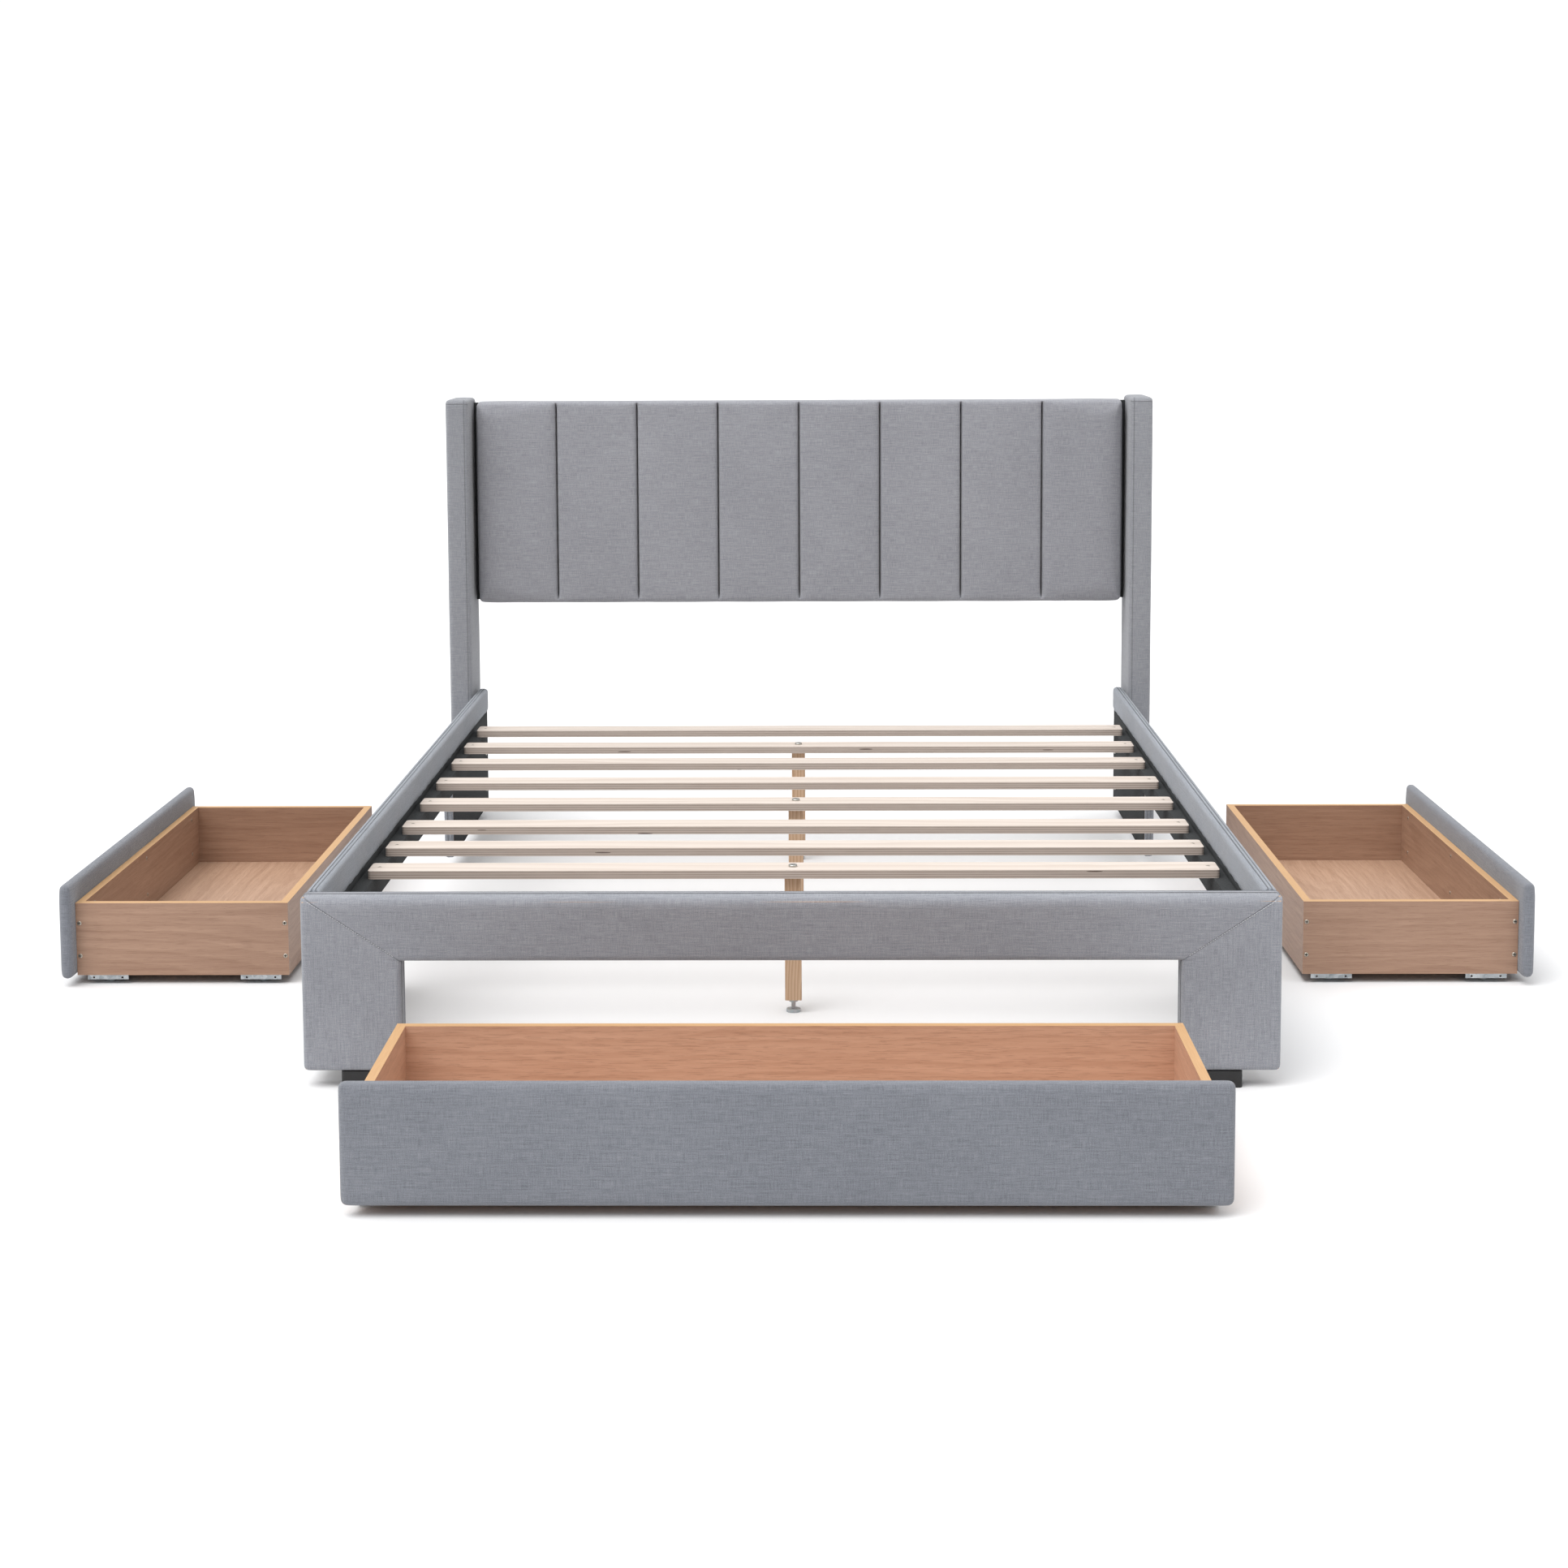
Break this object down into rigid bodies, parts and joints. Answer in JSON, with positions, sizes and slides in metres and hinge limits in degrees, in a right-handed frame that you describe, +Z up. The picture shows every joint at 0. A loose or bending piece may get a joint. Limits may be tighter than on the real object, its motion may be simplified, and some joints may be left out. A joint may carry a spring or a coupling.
{
  "type": "platform bed with storage drawers",
  "caption": "Upholstered slatted platform bed with a winged, channelled headboard and storage drawers on casters in the foot and both sides.",
  "frame": {"origin": "on the floor, at the middle of the bed's footprint with its drawers pulled out", "axes": "+X to the right seen from the foot, +Y from the foot to the headboard, +Z up"},
  "size_m": [2.764, 2.81, 1.042],
  "materials": {
    "grey_fabric": "heathered linen-look weave",
    "black_cloth": "non-woven lining",
    "foam": "fabric over foam",
    "plywood": "raw",
    "slat_ply": "sanded",
    "pine": "planed",
    "beech_board": "satin laminate",
    "galvanised": "galvanised",
    "zinc_bolt": "zinc plated",
    "nylon": "translucent white",
    "black_plastic": "moulded"
  },
  "bodies": {
    "bed": {"bed_bolts": "zinc_bolt", "corner_brackets": "galvanised", "floor_glides": "nylon", "footboard_board": "plywood", "footboard_cover": "grey_fabric", "footboard_feet": "black_plastic", "headboard_board": "plywood", "headboard_pad": "foam", "left_rail_board": "plywood", "left_rail_cover": "grey_fabric", "left_slat_ledger": "black_cloth", "left_wing_cover": "grey_fabric", "left_wing_frame": "pine", "leg_bolts": "zinc_bolt", "linings": "black_cloth", "right_rail_board": "plywood", "right_rail_cover": "grey_fabric", "right_slat_ledger": "black_cloth", "right_wing_cover": "grey_fabric", "right_wing_frame": "pine", "slat_1": "slat_ply", "slat_2": "slat_ply", "slat_3": "slat_ply", "slat_4": "slat_ply", "slat_5": "slat_ply", "slat_6": "slat_ply", "slat_7": "slat_ply", "slat_8": "slat_ply", "slat_9": "slat_ply", "support_legs": "pine"},
    "foot_drawer": {"foot_drawer_back": "beech_board", "foot_drawer_bottom": "beech_board", "foot_drawer_casters": "galvanised", "foot_drawer_front_board": "plywood", "foot_drawer_front_cover": "grey_fabric", "foot_drawer_inner_front": "beech_board", "foot_drawer_left_side": "beech_board", "foot_drawer_right_side": "beech_board"},
    "foot_drawer_front_wheels": {"foot_drawer_front_wheels": "nylon"},
    "foot_drawer_rear_wheels": {"foot_drawer_rear_wheels": "nylon"},
    "left_drawer": {"left_drawer_back": "beech_board", "left_drawer_bottom": "beech_board", "left_drawer_casters": "galvanised", "left_drawer_foot_side": "beech_board", "left_drawer_front_board": "plywood", "left_drawer_front_cover": "grey_fabric", "left_drawer_head_side": "beech_board", "left_drawer_inner_front": "beech_board"},
    "left_drawer_front_wheels": {"left_drawer_front_wheels": "nylon"},
    "left_drawer_rear_wheels": {"left_drawer_rear_wheels": "nylon"},
    "right_drawer": {"right_drawer_back": "beech_board", "right_drawer_bottom": "beech_board", "right_drawer_casters": "galvanised", "right_drawer_foot_side": "beech_board", "right_drawer_front_board": "plywood", "right_drawer_front_cover": "grey_fabric", "right_drawer_head_side": "beech_board", "right_drawer_inner_front": "beech_board"},
    "right_drawer_front_wheels": {"right_drawer_front_wheels": "nylon"},
    "right_drawer_rear_wheels": {"right_drawer_rear_wheels": "nylon"}
  },
  "joints": [
    {"name": "foot_drawer_slide", "type": "slide", "parent": "bed", "child": "foot_drawer", "axis": [0, -1, 0], "range_m": [-0.585, 0]},
    {"name": "foot_drawer_front_wheel_roll", "type": "hinge", "parent": "foot_drawer", "child": "foot_drawer_front_wheels", "pos_m": [0, -1.322, 0.0125], "axis": [1, 0, 0], "continuous": true},
    {"name": "foot_drawer_rear_wheel_roll", "type": "hinge", "parent": "foot_drawer", "child": "foot_drawer_rear_wheels", "pos_m": [0, -1.032, 0.0125], "axis": [1, 0, 0], "continuous": true},
    {"name": "left_drawer_slide", "type": "slide", "parent": "bed", "child": "left_drawer", "axis": [-1, 0, 0], "range_m": [-0.582, 0]},
    {"name": "left_drawer_front_wheel_roll", "type": "hinge", "parent": "left_drawer", "child": "left_drawer_front_wheels", "pos_m": [-1.299, 0.26, 0.0125], "axis": [0, -1, 0], "continuous": true},
    {"name": "left_drawer_rear_wheel_roll", "type": "hinge", "parent": "left_drawer", "child": "left_drawer_rear_wheels", "pos_m": [-1.009, 0.26, 0.0125], "axis": [0, -1, 0], "continuous": true},
    {"name": "right_drawer_slide", "type": "slide", "parent": "bed", "child": "right_drawer", "axis": [1, 0, 0], "range_m": [-0.582, 0]},
    {"name": "right_drawer_front_wheel_roll", "type": "hinge", "parent": "right_drawer", "child": "right_drawer_front_wheels", "pos_m": [1.299, 0.26, 0.0125], "axis": [0, 1, 0], "continuous": true},
    {"name": "right_drawer_rear_wheel_roll", "type": "hinge", "parent": "right_drawer", "child": "right_drawer_rear_wheels", "pos_m": [1.009, 0.26, 0.0125], "axis": [0, 1, 0], "continuous": true}
  ],
  "couplings": [
    {"joint": "foot_drawer_front_wheel_roll", "follows": "foot_drawer_slide", "rad_per_m": 80},
    {"joint": "foot_drawer_rear_wheel_roll", "follows": "foot_drawer_slide", "rad_per_m": 80},
    {"joint": "left_drawer_front_wheel_roll", "follows": "left_drawer_slide", "rad_per_m": 80},
    {"joint": "left_drawer_rear_wheel_roll", "follows": "left_drawer_slide", "rad_per_m": 80},
    {"joint": "right_drawer_front_wheel_roll", "follows": "right_drawer_slide", "rad_per_m": 80},
    {"joint": "right_drawer_rear_wheel_roll", "follows": "right_drawer_slide", "rad_per_m": 80}
  ]
}
